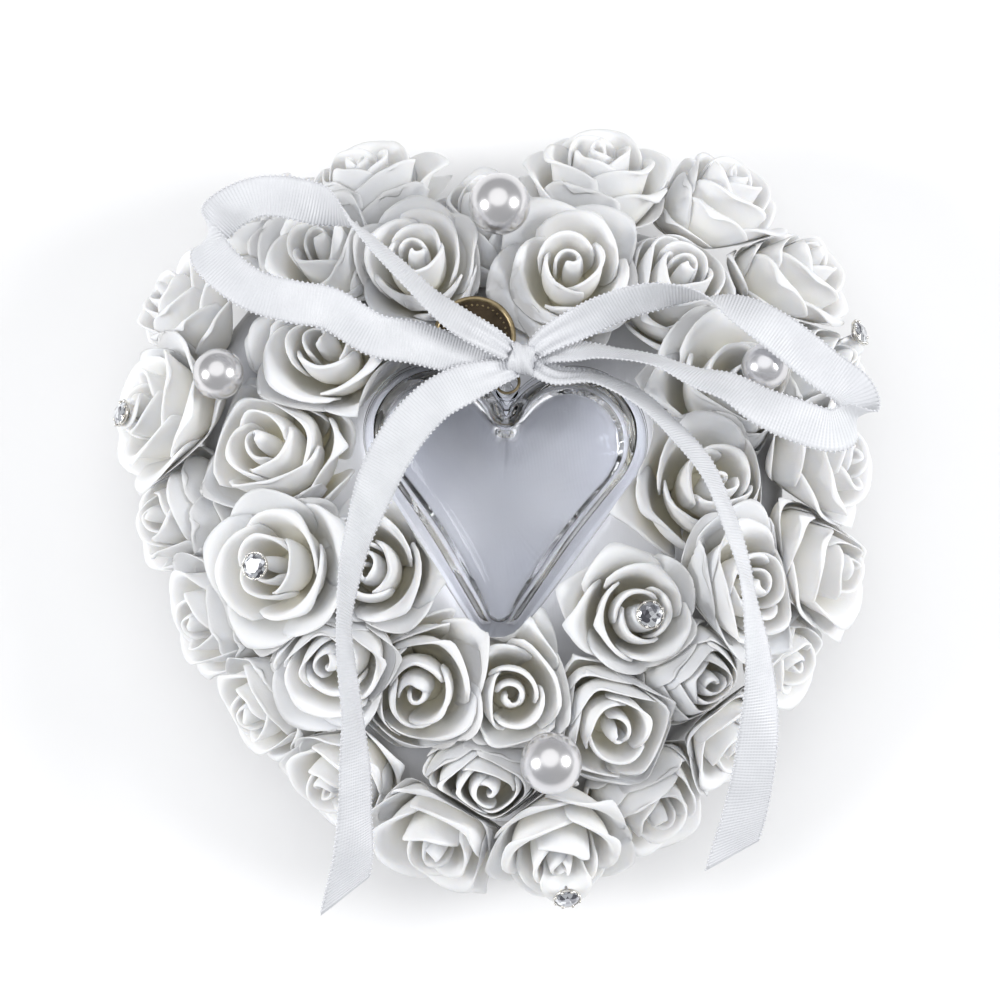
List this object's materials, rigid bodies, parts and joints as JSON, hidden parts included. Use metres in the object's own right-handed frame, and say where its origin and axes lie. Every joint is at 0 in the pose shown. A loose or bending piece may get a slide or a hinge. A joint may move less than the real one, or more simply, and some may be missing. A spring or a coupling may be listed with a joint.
{
  "type": "ring bearer pillow",
  "caption": "Heart-shaped ring bearer pillow covered in foam roses, with a clear heart ring box, satin ribbon bow, charm, pearls and rhinestones.",
  "frame": {"origin": "middle of the flat back of the back board, under the middle of the ring box", "axes": "+Z out of the roses, away from the flat back; +Y towards the cleft of the heart, -Y towards its rounded point; +X to the right when the roses face you and the cleft is up"},
  "size_m": [0.1749, 0.179, 0.0701],
  "materials": {
    "board": "matte white board",
    "core_foam": "expanded foam",
    "satin": "satin weave",
    "clear_plastic": "clear polished",
    "rose_foam": "soft matte foam sheet",
    "pearl": "pearlescent coating",
    "pin_steel": "bright wire",
    "crystal": "faceted, foil backed",
    "stone_setting": "bright plated",
    "bronze": "antique bronze",
    "ribbon": "ribbed satin with beaded edges"
  },
  "bodies": {
    "pillow": {"back_board": "board", "foam_core": "core_foam", "satin_cover": "satin", "ring_box_bowl": "clear_plastic", "rose_01": "rose_foam", "rose_02": "rose_foam", "rose_03": "rose_foam", "rose_04": "rose_foam", "rose_05": "rose_foam", "rose_06": "rose_foam", "rose_07": "rose_foam", "rose_08": "rose_foam", "rose_09": "rose_foam", "rose_10": "rose_foam", "rose_11": "rose_foam", "rose_12": "rose_foam", "rose_13": "rose_foam", "rose_14": "rose_foam", "rose_15": "rose_foam", "rose_16": "rose_foam", "rose_17": "rose_foam", "rose_18": "rose_foam", "rose_19": "rose_foam", "rose_20": "rose_foam", "rose_21": "rose_foam", "rose_22": "rose_foam", "rose_23": "rose_foam", "rose_24": "rose_foam", "rose_25": "rose_foam", "rose_26": "rose_foam", "rose_27": "rose_foam", "rose_28": "rose_foam", "rose_29": "rose_foam", "rose_30": "rose_foam", "rose_31": "rose_foam", "rose_32": "rose_foam", "rose_33": "rose_foam", "rose_34": "rose_foam", "rose_35": "rose_foam", "rose_36": "rose_foam", "rose_37": "rose_foam", "rose_38": "rose_foam", "pearl_top": "pearl", "pearl_left": "pearl", "pearl_right": "pearl", "pearl_bottom": "pearl", "pearl_pins": "pin_steel", "rhinestones": "crystal", "rhinestone_cups": "stone_setting", "rhinestone_pins": "pin_steel"},
    "lid": {"ring_box_lid": "clear_plastic", "bow_knot": "ribbon", "bow_tie": "ribbon", "bow_left_loop": "ribbon", "bow_right_loop": "ribbon", "bow_left_tail": "ribbon", "bow_right_tail": "ribbon"},
    "charm": {"charm_disc": "bronze", "charm_ring": "bronze"}
  },
  "joints": [
    {"name": "lid_lift", "type": "slide", "parent": "pillow", "child": "lid", "axis": [0, 0, 1], "range_m": [0, 0.06]},
    {"name": "charm_swivel", "type": "hinge", "parent": "lid", "child": "charm", "pos_m": [0.0037, 0.0262, 0.048], "axis": [0, 0, 1], "range_deg": [-20, 4]}
  ]
}
